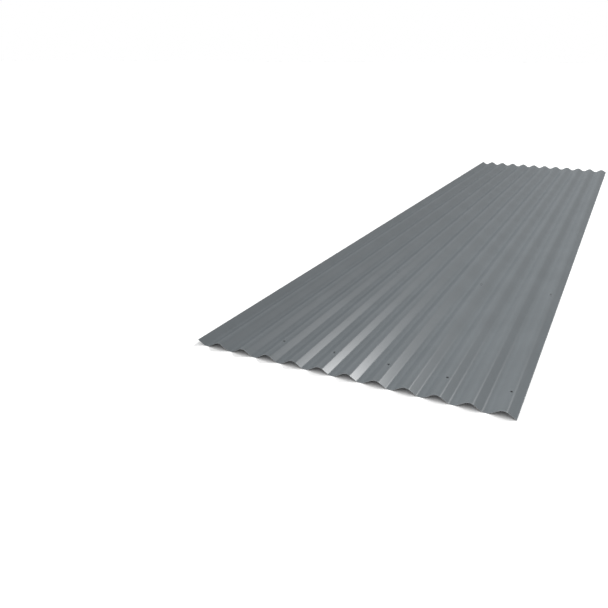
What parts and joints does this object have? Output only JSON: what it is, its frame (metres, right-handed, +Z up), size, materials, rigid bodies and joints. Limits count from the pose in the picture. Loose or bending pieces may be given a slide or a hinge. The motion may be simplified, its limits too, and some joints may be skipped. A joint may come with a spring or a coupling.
{
  "type": "corrugated metal sheet",
  "caption": "Long grey coated-steel roofing sheet with rounded corrugations, one side edge turned up and one down for lapping, and drilled fixing holes on its crests.",
  "frame": {"origin": "on the ground under the middle of the sheet, level with the undersides of the troughs", "axes": "+X across the waves towards the downturned edge, +Y along the waves away from the front end with the first row of holes, +Z up"},
  "size_m": [0.8598, 3.66, 0.016],
  "materials": {
    "grey_coated_steel": "satin"
  },
  "bodies": {
    "root": {"corrugated_sheet": "grey_coated_steel"}
  },
  "joints": []
}
